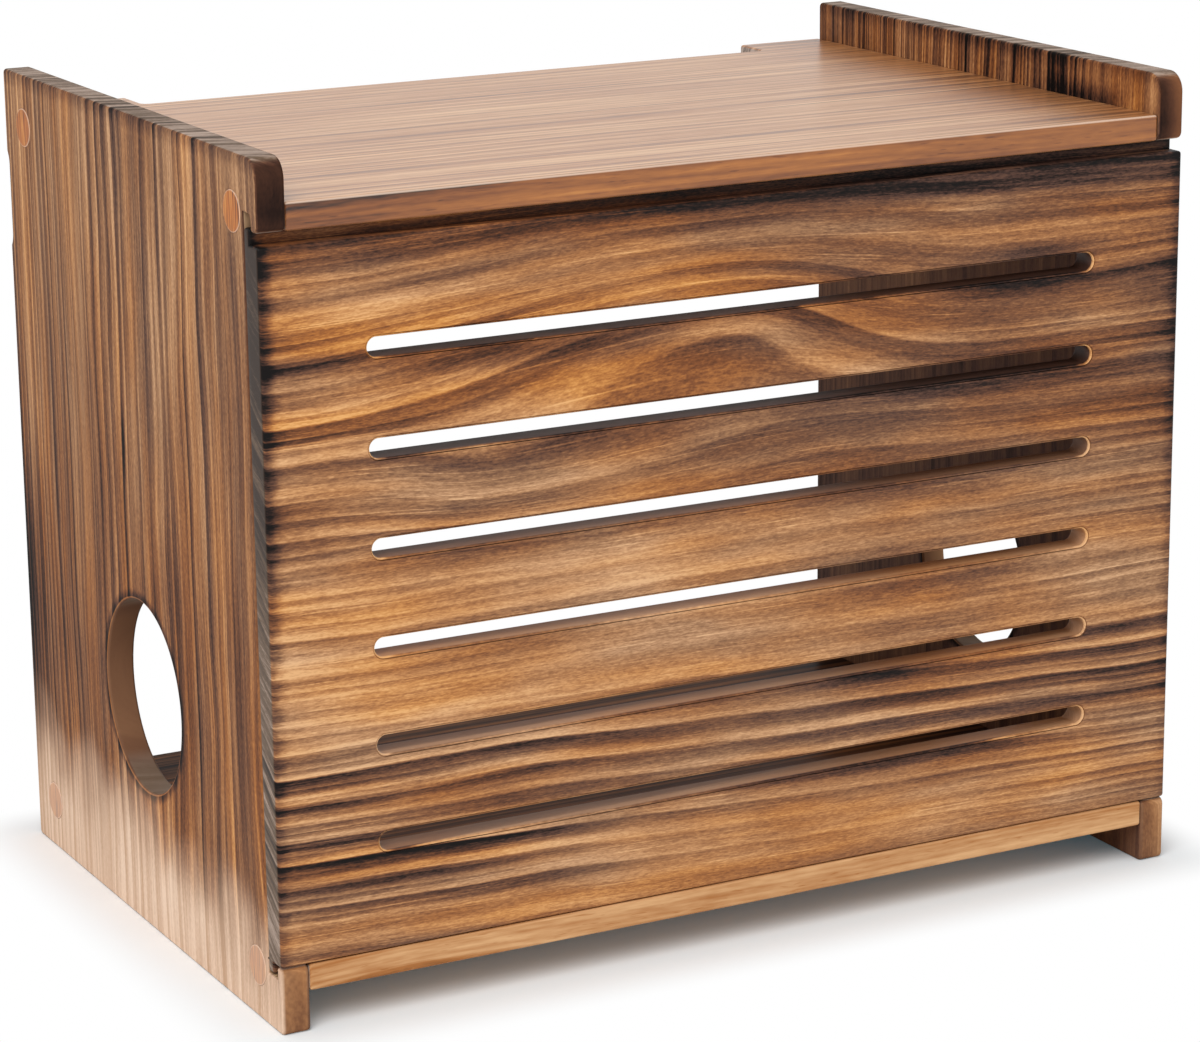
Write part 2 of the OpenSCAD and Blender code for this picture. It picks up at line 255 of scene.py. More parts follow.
class StorageBoxSizes(bpy.types.PropertyGroup):
    """Sizes of the joinery that the boards' own boxes don't give."""

    ease: length("Easing", "Radius along the edges of the boards", 1.2)
    slot_ease: length("Slot easing", "Radius along the rims of the slots", 0.9)
    horn_round: length("Horn", "Radius of the side panels' top front corner", 8)
    lip_round: length("Lip", "Radius of the corners above and below the front panel", 3)
    corner_round: length("Corner", "Radius of the side panels' other corners", 2)
    panel_play: length("Panel play", "Play behind the front panel", 0.3)
    seat_gap: length("Seat gap", "Gap under the front panel's lower shoulder", 0.3)
    lift_gap: length("Lift gap", "Open gap above the front panel's upper shoulder", 4.8)
    tongue: length("Tongue", "Thickness of the front panel's tongues", 4.4)
    upper_groove_width: length("Upper groove width", "Width of the groove above the panel", 6.5)
    upper_groove_height: length("Upper groove height", "Height of the groove above the panel", 6.3)
    upper_groove_round: length("Upper groove corner", "Radius of the upper groove's front corner", 3)
    lower_groove_width: length("Lower groove width", "Width of the groove below the panel", 8.3)
    lower_groove_depth: length("Lower groove depth", "Depth of the groove below the panel", 4.9)
    slot_height: length("Slot height", "Height of each slot", 7.5)
    slot_end: length("Slot end", "Wood between a slot and the end of the panel", 41.7)
    notch_depth: length("Notch depth", "Depth of the cable notch in the top board", 20.4)
    notch_tab: length("Notch tab", "Width of the tab at each end of the notch", 41.3)
    notch_round: length("Notch corner", "Radius of the notch's inner corners", 3)
    plug_gap: length("Plug gap", "Clearance round each plug", 0.1)
    plug_chamfer: length("Plug chamfer", "Rounding of each plug's face", 0.3)
    screw_hole: length("Screw hole", "Diameter of the holes for the long screws", 4.2)
    screw_sink: length("Screw sink", "Diameter of the countersink at the long screws' heads", 8.2)
    mortise_room: length("Mortise room", "Room past each end of the hanger plate", 0.3)
    mortise_round: length("Mortise end", "Radius of the hanger mortise's curved ends", 8.5)
    pocket_width: length("Pocket width", "Width of the pocket behind the keyhole", 7.6)
    pocket_rise: length("Pocket rise", "Distance between the centres of the pocket's round ends", 6)
    pocket_depth: length("Pocket depth", "Depth of the pocket behind the keyhole", 8)


class StorageBoxColours(bpy.types.PropertyGroup):
    """Colours of the wood, from bare to burnt, and of the metal."""

    pale: colour("Pale pine", "Wood that the torch hardly touched", "#DDB186")
    honey: colour("Honey", "Light early wood", "#C2956F")
    tan: colour("Tan", "Lightly toasted wood", "#9F7655")
    brown: colour("Brown", "Toasted wood", "#795640")
    umber: colour("Umber", "Darker late wood", "#573D33")
    amber_pale: colour("Amber, pale", "Resin-rich wood that the torch hardly touched", "#E3A865")
    amber_honey: colour("Amber, honey", "Resin-rich early wood", "#CB8A48")
    amber_tan: colour("Amber, tan", "Resin-rich wood, lightly toasted", "#A96A36")
    amber_brown: colour("Amber, brown", "Resin-rich wood, toasted", "#804C2B")
    amber_umber: colour("Amber, umber", "Resin-rich late wood", "#57331F")
    char: colour("Char", "Charred edges and ring lines", "#291C18")
    soot: colour("Soot", "The blackest char", "#0F0B0A")
    shelf_pale: colour("Shelf pale", "Light early wood of the shelves", "#DEB080")
    shelf_tan: colour("Shelf tan", "Lightly toasted wood of the shelves", "#AA7041")
    shelf_brown: colour("Shelf brown", "Late wood of the shelves", "#734B30")
    # Pale of the painted reflection of the floor at the foot of the left side, and of the painted highlights
    # on the plugs' rims and the top board's front edge
    reflection_pale: colour("Bleached", "Washed-out wood at the foot of the left side", "#F0D4BC")
    # Tan of the stripes in that painted reflection of the floor
    reflection_tan: colour("Bleached tan", "Stripes in the washed-out foot", "#CDA88A")
    end_pale: colour("End grain, pale", "Soft rings in the end grain", "#B09A8B")
    end_grey: colour("End grain", "Grey-brown end grain", "#6A5645")
    end_dark: colour("End grain, dark", "Hard rings in the end grain", "#33261E")
    raw: colour("Raw pine", "Freshly cut wood in the grooves", "#C9A77C")
    plug: colour("Plug", "Stained plug wood", "#AE6228")
    zinc: colour("Zinc", "Bright zinc plate", "#CFCBC0")
    black: colour("Black steel", "Black coated steel", "#26262A")


class StorageBoxStudio(bpy.types.PropertyGroup):
    """Camera, light and floor."""

    focal_px: FloatProperty(
        name="Focal length", description="In pixels of the picture", default=3894.25, min=1
    )
    picture_px: IntProperty(name="Picture width", description="In pixels", default=1200, min=1)
    eye: FloatVectorProperty(
        name="Eye", description="Place of the camera", default=(-0.723981, -1.384535, 0.557751),
        unit="LENGTH", precision=6,
    )
    yaw: angle("Yaw", "Turn of the view to the left", -27.756)
    pitch: angle("Pitch", "Tilt of the view", -14.902)
    roll: angle("Roll", "Turn of the camera about the view", 0.604)
    dome_level: FloatProperty(
        name="Dome", description="Light level of the white surround", default=0.6, min=0
    )
    key_power: FloatProperty(
        name="Key", description="Power of the large softbox", default=30, min=0, unit="POWER"
    )
    floor_grey: FloatProperty(
        name="Floor", description="How much light the floor returns", default=0.9, min=0, max=1
    )
    shadow_reach: length("Shadow", "How far from the box the shadow reaches before the floor is white", 34)
    shadow_tint: colour("Shadow tint", "Cool glow that evens out the warm light in the shadow", "#00343F")


def node(tree, kind, *inputs, named=None, stops=None, **settings):
    """Adds a node. Inputs go to its sockets in order or by name; each is a value, a node or a socket."""
    if isinstance(kind, tuple):
        kind, setting, value = kind
        settings[setting] = value
    made = tree.nodes.new(kind)
    for setting, value in settings.items():
        setattr(made, setting, value)
    if stops:
        elements = made.color_ramp.elements
        while len(elements) < len(stops):
            elements.new(1)
        for element, (place, value) in zip(elements, stops):
            element.position = place
            element.color = (*value, 1) if hasattr(value, "__len__") else (value, value, value, 1)
    wanted = list(zip([s for s in made.inputs if s.enabled], inputs))
    wanted += [(made.inputs[name], value) for name, value in (named or {}).items()]
    for socket, value in wanted:
        if isinstance(value, bpy.types.Node):
            value = next(s for s in value.outputs if s.enabled)
        if isinstance(value, bpy.types.NodeSocket):
            tree.links.new(value, socket)
        else:
            socket.default_value = value
    return made


def new_material(name):
    """An empty node material and its tree."""
    material = bpy.data.materials.new(name)
    material.use_nodes = True
    material.node_tree.nodes.clear()
    return material, material.node_tree


def grain_place(tree, order):
    """Object coordinates in millimetres along, across and through the grain, then the three as a vector."""
    place = node(tree, "ShaderNodeTexCoord").outputs["Object"]
    parts = node(tree, SEPARATE, node(tree, VECTOR_MULTIPLY, place, (1 / MM,) * 3))
    along, across, through = [parts.outputs[axis] for axis in order]
    return along, across, through, node(tree, COMBINE, along, across, through)


def streaks(tree, place, sizes, detail=2.0):
    """Soft streaks, from 0 to 1, of the sizes in millimetres along, across and through the grain."""
    scaled = node(tree, VECTOR_MULTIPLY, place, [1 / size for size in sizes])
    return node(tree, NOISE, named={"Vector": scaled, "Scale": 1, "Detail": detail, "Roughness": 0.55})


def weighted_sum(tree, base, parts):
    """Adds shares of several patterns, each taken about its middle, to a base value."""
    total = base
    for pattern, middle, share in parts:
        total = node(tree, MULTIPLY_ADD, node(tree, SUBTRACT, pattern, middle), share, total)
    return total


def grain(tree, base, layers, figure, flat):
    """Adds layers of streaks, which follow the figure or lie flat, to a base value."""
    return weighted_sum(tree, base, [
        (streaks(tree, figure if bent else flat, sizes, detail), STREAKS_MEAN, share)
        for sizes, detail, share, bent in layers
    ])


def spot(tree, place, centre, runs):
    """A soft spot, 1 at its centre, that thins out over the given runs; a run of None reaches all the way."""
    away = node(tree, VECTOR_SUBTRACT, place, centre)
    away = node(tree, VECTOR_MULTIPLY, away, [1 / run if run else 0 for run in runs])
    return node(tree, POWER, math.exp(-1), node(tree, VECTOR_DOT, away, away))


def ring_lines(tree, level, pitch, uneven, weakest):
    """Growth rings at a level in millimetres: each starts pale at a sharp edge and darkens slowly upwards."""
    add = partial(node, tree)
    turns = add(DIVIDE, level, pitch)
    drift = add(NOISE, noise_dimensions="1D", named={"W": add(MULTIPLY, turns, 0.3), "Scale": 1, "Detail": 1})
    phase = add(MULTIPLY_ADD, drift, uneven, turns)
    ring = add("ShaderNodeTexWhiteNoise", noise_dimensions="1D", named={"W": add(FLOOR, phase)})
    profile = add(RAMP, add(FRACT, phase), stops=RING_PROFILE)
    return add(MULTIPLY, profile, add(RANGE, ring, 0, 1, weakest, 1))


def end_grain(tree, burn, colours):
    """Colour of the grey-brown end grain, by how burnt it is."""
    return node(tree, RAMP, burn, stops=[
        (0.3, colours.end_pale), (0.6, colours.end_grey), (0.95, colours.end_dark)
    ])


def lacquered_pine(tree, tint, end_tint, burn, place, end_axis, roughness, shine):
    """Pine under clear satin lacquer: greyer where the end grain shows, with fine fibres in relief."""
    add = partial(node, tree)
    turned = add(SEPARATE, add("ShaderNodeNewGeometry").outputs["Normal"]).outputs[end_axis]
    endwise = add(SMOOTH, add(ABSOLUTE, turned), 0.75, 0.95)
    # The fibres are drawn coarser than real ones, so that they show; burnt wood lies a little lower
    fibres = streaks(tree, place, (14, 0.5, 0.5))
    relief = add(MULTIPLY_ADD, burn, -0.5, fibres)
    shader = add(PRINCIPLED, named={
        "Base Color": add(TINT, endwise, tint, end_tint),
        "Roughness": add(RANGE, fibres, 0, 1, roughness - 0.06, roughness + 0.06),
        "IOR": 1.5,
        "Specular IOR Level": shine,
        "Normal": add(BUMP, named={"Height": relief, "Strength": 0.3, "Distance": 0.1 * MM}),
    })
    add(OUTPUT, named={"Surface": shader})


def torched_tint(tree, burn, amber, colours):
    """Colour of torched pine, by how burnt it is and how rich in amber resin."""
    black = (colours.char, colours.soot)
    plain = (colours.pale, colours.honey, colours.tan, colours.brown, colours.umber, *black)
    resin = (
        colours.amber_pale, colours.amber_honey, colours.amber_tan, colours.amber_brown, colours.amber_umber,
        *black,
    )
    ramps = [node(tree, RAMP, burn, stops=list(zip(BURN_STEPS, tints))) for tints in (plain, resin)]
    return node(tree, TINT, amber, *ramps)


def front_level(tree, along, across, through, flat):
    """Level of the growth rings in the front panel, bent into arches and dips and closer low down."""
    add = partial(node, tree)
    level = across
    for x, z, rise, left_run, right_run, spread in FIGURE_HILLS:
        aside = add(SUBTRACT, along, x)
        left = add(DIVIDE, add(MINIMUM, aside, 0), left_run)
        right = add(DIVIDE, add(MAXIMUM, aside, 0), right_run)
        above = add(DIVIDE, add(SUBTRACT, across, z), spread)
        apart = add(COMBINE, left, right, above)
        hill = add(POWER, math.exp(-1), add(VECTOR_DOT, apart, apart))
        level = add(MULTIPLY_ADD, hill, -rise, level)
    level = weighted_sum(tree, level, [(streaks(tree, flat, (130, 45, 60), 1), STREAKS_MEAN, 9)])
    depth = add(SUBTRACT, through, PANEL_LOW.y / MM)
    level = add(MULTIPLY_ADD, depth, -0.8, level)
    # Low down the rings slope a little to the right and lie closer together
    level = add(MULTIPLY_ADD, along, add(RANGE, across, 140, 100, 0, 0.033), level)
    stripes_top = 112
    low = add(MAXIMUM, add(SUBTRACT, stripes_top, level), 0)
    return add(MULTIPLY_ADD, low, -0.5, level)


def front_contrast(tree, along, across, flat, share):
    """How strongly the rings of the front panel show."""
    add = partial(node, tree)
    contrast = add(RAMP, share, stops=FRONT_CONTRAST)
    # They come and go in patches
    patches = add(RANGE, streaks(tree, flat, (80, 30, 60), 1), 0.35, 0.65, 0.5, 1.25)
    contrast = add(MULTIPLY, contrast, patches)
    # Above the low stripes they are softer in the middle and near the right-hand end
    above = add(RANGE, across, 104, 116, 0, 0.2)
    middle = add(SMOOTH, add(ABSOLUTE, along), 170, 80)
    right_end = add(SMOOTH, along, 80, 150, 0, 2.2)
    # The lowest stripes fade away to the right
    low = add(RANGE, across, 66, 56, 0, 0.8)
    rightwards = add(SMOOTH, along, -110, 0)
    for place, softer in ((middle, above), (low, rightwards), (right_end, above)):
        kept = add(SUBTRACT, 1, add(MULTIPLY, place, softer))
        contrast = add(MULTIPLY, contrast, kept)
    return contrast


def near_slots(tree, across, aside):
    """1 within a slot's height and length, and just outside it, else 0."""
    add = partial(node, tree)
    pitch = (SLOT_LEVELS[0] - SLOT_LEVELS[1]) / MM
    slot = add(DIVIDE, add(SUBTRACT, across, SLOT_LEVELS[0] / MM), pitch)
    number = add(MAXIMUM, add(MINIMUM, add(ROUND, slot), 0), 1 - len(SLOT_LEVELS))
    away = add(ABSOLUTE, add(SUBTRACT, slot, number))
    return add(MULTIPLY, add(RANGE, away, 0.13, 0.12), add(LESS_THAN, aside, SLOT_HALF))


def front_char(tree, along, across, through, flat, rings):
    """Char of the front panel, and where the walls of its slots are."""
    add = partial(node, tree)
    aside = add(ABSOLUTE, along)
    depth = add(SUBTRACT, through, PANEL_LOW.y / MM)
    # The ends are charred, further in along dark rings, and less low down and on the right
    higher = add(RANGE, across, 60, 215, 0.5, 1)
    reach = add(MULTIPLY, add(RANGE, rings, 0, 1, 4, 16), higher)
    end = add(SUBTRACT, aside, PANEL_HIGH.x / MM)
    teeth = add(SMOOTH, add(DIVIDE, end, reach), -1, 0, 0, 0.22)
    corner = add(SMOOTH, end, -7, -0.5, 0, 0.26)
    side = add(MULTIPLY, add(RANGE, along, -1, 1, 1, 0.55), higher)
    char = add(MULTIPLY, add(ADD, teeth, corner), side)
    # So are a strip along the top, on the face only, and the foot
    strip = add(SMOOTH, across, 286, 298, 0, 0.36)
    char = add(MULTIPLY_ADD, strip, add(RANGE, depth, 1.8, 0.8), char)
    char = add(ADD, char, add(SMOOTH, across, 36, 27, 0, 0.16))
    # The step behind the strip, in the gap under the top board, is darkened
    step = add(RANGE, across, 296.5, 297.5, 0, 0.26)
    char = add(MULTIPLY_ADD, step, add(RANGE, depth, 1.2, 2.2), char)
    for x, z, run, spread, share in SCORCHES:
        char = add(MULTIPLY_ADD, spot(tree, flat, (x, z, 0), (run, spread, None)), share, char)
    # The walls of the upper slots are darker than those of the lower ones
    near = near_slots(tree, across, aside)
    thickness = (PANEL_HIGH.y - PANEL_LOW.y) / MM
    wall = add(MULTIPLY, near, add(RAMP, add(DIVIDE, depth, thickness), stops=SLOT_WALL))
    char = add(MULTIPLY_ADD, wall, add(RANGE, across, 150, 215, 0.02, 0.24), char)
    inside = add(MULTIPLY, wall, add(RANGE, depth, 0.9, 1.8, 0, 0.8))
    # The rims at the slots' ends are pale, partly sanded wood and partly a painted highlight
    rim = add(MULTIPLY, add(RAMP, add(MULTIPLY, depth, 0.5), stops=SLOT_RIM), near)
    return add(MULTIPLY_ADD, rim, add(RANGE, aside, 151, 155, 0, -0.6), char), inside


def burnt_pine_front(colours):
    """Front panel: wavy arched figure above, straight dark stripes below, charred at its ends and slots."""
    material, tree = new_material("burnt_pine_front")
    add = partial(node, tree)
    along, across, through, flat = grain_place(tree, "XZY")
    aside = add(ABSOLUTE, along)
    level = front_level(tree, along, across, through, flat)
    # The fibres follow the figure only half-way, so that they don't stretch under the arches
    half_way = add(MULTIPLY, add(ADD, level, across), 0.5)
    figure = add(COMBINE, along, half_way, through)
    rings = ring_lines(tree, level, *FRONT_RINGS)
    share = add(RANGE, across, *FRONT_SPAN)
    tone = add(RAMP, share, stops=FRONT_TONE)
    # The right-hand half is more toasted, except low down
    tone = add(MULTIPLY_ADD, add(SMOOTH, along, -60, 70), add(RANGE, across, 60, 110, 0, 0.13), tone)
    contrast = front_contrast(tree, along, across, flat, share)
    lines = add(MULTIPLY_ADD, add(SUBTRACT, rings, FRONT_RINGS_MEAN), contrast, tone)
    # Finer rings show between them towards the ends
    fine = add(SUBTRACT, ring_lines(tree, level, *FRONT_FINE_RINGS), FINE_RINGS_MEAN)
    lines = add(MULTIPLY_ADD, fine, add(RANGE, aside, 70, 180, 0.06, 0.32), lines)
    burn = grain(tree, lines, FRONT_GRAIN, figure, flat)
    hairs = add(RANGE, streaks(tree, figure, (70, 0.8, 20), 1), 0.64, 0.74)
    burn = weighted_sum(tree, burn, [(hairs, 0, -0.18)])
    char, inside = front_char(tree, along, across, through, flat, rings)
    burn = add(ADD, burn, char)
    # The slots' walls are evenly toasted, the upper ones more
    burn = add(BLEND, inside, burn, add(RANGE, across, 150, 215, 0.24, 0.76))
    # Resin shows in streaks, most in the upper left and least in the slots
    amber = add(RANGE, streaks(tree, figure, (110, 22, 60), 2), 0.36, 0.66, 0, 0.8)
    upper_left = spot(tree, flat, (-110, 262, 0), (120, 30, None))
    amber = add(MULTIPLY_ADD, upper_left, 0.4, amber, use_clamp=True)
    amber = add(MULTIPLY_ADD, inside, -0.3, amber, use_clamp=True)
    tint = torched_tint(tree, burn, amber, colours)
    # Grey end grain shows at the panel's ends, darker towards the top, and not in the slots
    darker = add(MULTIPLY_ADD, burn, 0.7, add(RANGE, share, 0, 1, 0.1, 0.42))
    ends = add(TINT, add(RANGE, aside, 165, 175), tint, end_grain(tree, darker, colours))
    lacquered_pine(tree, tint, ends, burn, figure, "X", 0.46, 0.12)
    return material


def hole_char(tree, burn, flat):
    """Burns a ring round the cable hole, with a painted highlight, a pale line, on its rim and a toasted
    wall; says where the wall is.
    """
    add = partial(node, tree)
    centre = (HOLE["pos_m"][2] / MM, HOLE["pos_m"][1] / MM, 0)
    away = add(VECTOR_MULTIPLY, add(VECTOR_SUBTRACT, flat, centre), (1, 1, 0))
    away = add(SUBTRACT, add(VECTOR_LENGTH, away), HOLE_R / MM)
    burn = add(ADD, burn, add(SMOOTH, away, 1, 5, 0.32, 0))
    # A painted highlight lightens the hole's eased rim to a pale line
    burn = add(BLEND, add(RANGE, away, 1.1, 0.8, 0, 0.7), burn, 0.22)
    wall = add(RANGE, away, 0.6, 0.2, 0, 0.7)
    return add(BLEND, wall, burn, 0.78), wall


def horn_and_foot(tree, burn, through, height):
    """Burns the horns' fronts, less on the right outside, and evens the feet's; says where they are."""
    add = partial(node, tree)
    turned = add(SEPARATE, add("ShaderNodeNewGeometry").outputs["Normal"]).outputs["Y"]
    front = add(MULTIPLY, add(RANGE, turned, -0.4, -0.8), add(RAMP, height, stops=HORN_AND_FOOT_SHARE))
    evenly = add(RAMP, height, stops=HORN_AND_FOOT_TONE)
    evenly = add(SUBTRACT, evenly, add(RANGE, through, 191, 198, 0, 0.3))
    return add(BLEND, front, burn, evenly), front


def burnt_pine_side(colours):
    """Side panels: upright stripes, toasted round the cable hole, with a painted reflection of the floor that
    makes the left-hand foot pale.
    """
    material, tree = new_material("burnt_pine_side")
    add = partial(node, tree)
    along, across, through, flat = grain_place(tree, "ZYX")
    inner_face, front_edge, _ = SIDE_LOW / MM
    outer_face, rear_edge, top_edge = SIDE_HIGH / MM
    level = grain(tree, across, SIDE_WAVES, flat, flat)
    level = add(MULTIPLY_ADD, through, 0.4, level)
    # The rings lie closer together towards the rear
    close_from = 45
    rear = add(MAXIMUM, add(SUBTRACT, across, close_from), 0)
    level = add(MULTIPLY_ADD, rear, 0.9, level)
    figure = add(COMBINE, along, level, through)
    rings = ring_lines(tree, level, *SIDE_RINGS)
    height = add(RANGE, along, 0, top_edge)
    tone = add(RAMP, height, stops=SIDE_TONE)
    contrast = add(RAMP, add(RANGE, across, front_edge, rear_edge), stops=SIDE_CONTRAST)
    # The faces towards the inside are darker, in patches
    inner = add(RANGE, add(ABSOLUTE, through), inner_face + 1.5, inner_face + 0.5)
    patches = add(MULTIPLY_ADD, streaks(tree, flat, (50, 30, 60), 2), 0.9, -0.3)
    tone = add(MULTIPLY_ADD, inner, patches, tone)
    # Above the top board they have fine stripes, except near the front, and a darker patch at their foot,
    # where they meet the top board
    bay = add(MULTIPLY, inner, add(RANGE, along, TOP_HIGH.z / MM, TOP_LOW.z / MM))
    shown = add(SUBTRACT, inner, bay)
    fine = add(SUBTRACT, ring_lines(tree, level, *SIDE_FINE_RINGS), FINE_RINGS_MEAN)
    fine = add(MULTIPLY, fine, add(RANGE, across, -95, -65, 0, 0.42))
    fine = add(MULTIPLY_ADD, spot(tree, flat, (314, -75, 0), (6, 26, None)), 0.4, fine)
    tone = add(MULTIPLY_ADD, shown, fine, tone)
    # The rear edge is burnt, most beside the cable hole
    tone = add(ADD, tone, add(SMOOTH, across, rear_edge - 11, rear_edge - 1, 0, 0.16))
    tone = add(MULTIPLY_ADD, spot(tree, flat, (100, rear_edge, 0), (60, 26, None)), 0.24, tone)
    lines = add(MULTIPLY_ADD, add(SUBTRACT, rings, RINGS_MEAN), contrast, tone)
    burn = grain(tree, lines, SIDE_GRAIN, figure, flat)
    hairs = add(RANGE, streaks(tree, figure, (120, 0.8, 20), 1), 0.6, 0.72)
    burn = weighted_sum(tree, burn, [(hairs, 0, -0.18)])
    # Below the top board the inner faces are plainer
    burn = add(BLEND, add(MULTIPLY, bay, 0.6), burn, 0.6)
    # A knot streak shows above the cable hole
    burn = add(MULTIPLY_ADD, spot(tree, flat, (197, 10, 0), (13, 1.6, None)), 0.4, burn)
    burn, wall = hole_char(tree, burn, flat)
    burn, front = horn_and_foot(tree, burn, through, height)
    # Resin shows in streaks, most low down, on the inner faces above the top board and on the horns
    amber = add(RANGE, streaks(tree, figure, (140, 16, 60), 2), 0.4, 0.66, 0, 0.55)
    amber = add(ADD, amber, add(RANGE, along, 210, 130, 0, 0.35))
    amber = add(MULTIPLY_ADD, shown, 0.4, amber)
    amber = add(MULTIPLY_ADD, front, add(RANGE, along, 30, 300, -0.8, 0.6), amber, use_clamp=True)
    plain = add(MULTIPLY_ADD, wall, 0.8, bay)
    amber = add(SUBTRACT, amber, plain, use_clamp=True)
    tint = torched_tint(tree, burn, amber, colours)
    # A painted reflection of the white floor makes the left-hand foot pale on its outer face, unevenly and
    # further up towards the rear
    floor_reflection = add(MULTIPLY_ADD, across, -0.05, along)
    floor_reflection = weighted_sum(tree, floor_reflection, [(streaks(tree, flat, (60, 40, 60), 2), STREAKS_MEAN, 60)])
    floor_reflection = add(SMOOTH, floor_reflection, 62, 14, 0, 0.92)
    floor_reflection = add(MULTIPLY, floor_reflection, add(RANGE, through, 1.5 - outer_face, 0.2 - outer_face))
    pale = add(RAMP, burn, stops=[(0.2, colours.reflection_pale), (0.68, colours.reflection_tan)])
    tint = add(TINT, floor_reflection, tint, pale)
    ends = end_grain(tree, add(SUBTRACT, burn, 0.1), colours)
    lacquered_pine(tree, tint, ends, burn, figure, "Z", 0.45, 0.02)
    return material


def burnt_pine_board(colours, name, shine):
    """Top and bottom boards: fine straight grain along their length, with shinier lacquer on the top one."""
    material, tree = new_material(name)
    add = partial(node, tree)
    along, across, through, flat = grain_place(tree, "XYZ")
    level = add(MULTIPLY_ADD, streaks(tree, flat, (220, 60, 60), 1), 8, across)
    level = add(MULTIPLY_ADD, through, 0.4, level)
    figure = add(COMBINE, along, level, through)
    rings = ring_lines(tree, level, *SHELF_RINGS)
    # The faces darken towards the right-hand end, partly toasted and partly painted shade where they meet the
    # right-hand panel; the inside face of the bottom board is darkened all over as painted shade
    faces = add(SMOOTH, along, 110, 188, 0, 0.2)
    inside = spot(tree, flat, (0, 0, BOTTOM_HIGH.z / MM), (None, None, 1.2))
    faces = add(MULTIPLY_ADD, inside, 0.6, faces)
    # The front edges are darker, most towards the left-hand end
    front = TOP_LOW.y / MM
    edge = add(RANGE, across, front + 1, front + 0.2)
    left = add(RANGE, along, -60, -188)
    darker = add(RANGE, through, *SHELVES, 0.07, 0.33)
    darker = add(MULTIPLY_ADD, left, add(RANGE, through, *SHELVES, 0.2, 0.1), darker)
    tone = add(RANGE, through, *SHELVES, 0.12, 0.3)
    tone = add(ADD, tone, add(BLEND, edge, faces, darker))
    # Thin lines show most on the faces
    thin = add(SUBTRACT, streaks(tree, figure, (120, 1.1, 2.5), 2), STREAKS_MEAN)
    tone = add(MULTIPLY_ADD, thin, add(RANGE, edge, 0, 1, 0.9, 0.45), tone)
    burn = weighted_sum(tree, tone, [(rings, RINGS_MEAN, 0.28)])
    burn = grain(tree, burn, SHELF_GRAIN, figure, flat)
    pores = add(RANGE, streaks(tree, figure, (9, 0.5, 2), 1), 0.66, 0.74)
    burn = weighted_sum(tree, burn, [(pores, 0, 0.12)])
    tint = add(RAMP, burn, stops=[
        (0.0, colours.shelf_pale), (0.4, colours.shelf_tan), (0.65, colours.shelf_brown), (1.0, colours.char)
    ])
    # The top board's front edge is toasted to amber
    resin = add(RAMP, burn, stops=[
        (0.3, colours.amber_honey), (0.5, colours.amber_tan), (0.75, colours.amber_brown), (1.0, colours.char)
    ])
    tint = add(TINT, add(MULTIPLY, edge, add(RANGE, through, *SHELVES)), tint, resin)
    # Its upper front edge gets a painted highlight, a pale line
    crest = TOP_HIGH.z / MM
    upper = add(RANGE, through, crest - 0.9, crest - 0.5, 0, 0.6)
    edge_highlight = add(MULTIPLY, add(RANGE, across, front + 1, front + 0.6), upper)
    tint = add(TINT, edge_highlight, tint, (*colours.reflection_pale, 1))
    lacquered_pine(tree, tint, end_grain(tree, burn, colours), burn, figure, "X", 0.31, shine)
    return material


def raw_pine(colours):
    """Routed pine in the grooves and seats: pale, dry and a little fuzzy."""
    material, tree = new_material("raw_pine")
    add = partial(node, tree)
    lines = streaks(tree, grain_place(tree, "XYZ")[-1], (20, 1.2, 20), 2)
    shader = add(PRINCIPLED, named={
        "Base Color": add(RAMP, lines, stops=[(0.3, colours.brown), (0.7, colours.raw)]),
        "Roughness": 0.75,
        "IOR": 1.5,
        "Normal": add(BUMP, named={"Height": lines, "Strength": 0.4, "Distance": 0.15 * MM}),
    })
    add(OUTPUT, named={"Surface": shader})
    return material


def plug_wood(colours):
    """Stained wooden plugs with short upright grain under satin lacquer."""
    material, tree = new_material("stained_plug_wood")
    add = partial(node, tree)
    along, across, through, flat = grain_place(tree, "ZYX")
    lines = streaks(tree, flat, (16, 0.9, 12), 4)
    tint = add(RAMP, lines, stops=[
        (0.32, colours.amber_umber), (0.48, colours.plug), (0.68, colours.amber_honey)
    ])
    # The lower plugs on the left get the same painted reflection of the floor as the wood round them
    floor_reflection = add(MULTIPLY, add(RANGE, along, 72, 30, 0, 0.34), add(LESS_THAN, through, 0))
    tint = add(TINT, floor_reflection, tint, (*colours.reflection_pale, 1))
    # A painted highlight, a pale line, runs round each rim
    ends = ("right_plug_top_front", "right_plug_bottom_front")
    upper, lower = [sum(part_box(end), Vector()) / 2 / MM for end in ends]
    aside = add(SUBTRACT, add(ABSOLUTE, across), abs(upper.y))
    above = add(ABSOLUTE, add(SUBTRACT, along, (upper.z + lower.z) / 2))
    above = add(SUBTRACT, above, (upper.z - lower.z) / 2)
    out = add(VECTOR_LENGTH, add(COMBINE, aside, above))
    tint = add(TINT, add(RANGE, out, 7.3, 7.6, 0, 0.5), tint, (*colours.reflection_pale, 1))
    shader = add(PRINCIPLED, named={
        "Base Color": tint,
        "Roughness": 0.4,
        "IOR": 1.5,
        "Specular IOR Level": 0.1,
        "Normal": add(BUMP, named={"Height": lines, "Strength": 0.3, "Distance": 0.1 * MM}),
    })
    add(OUTPUT, named={"Surface": shader})
    return material


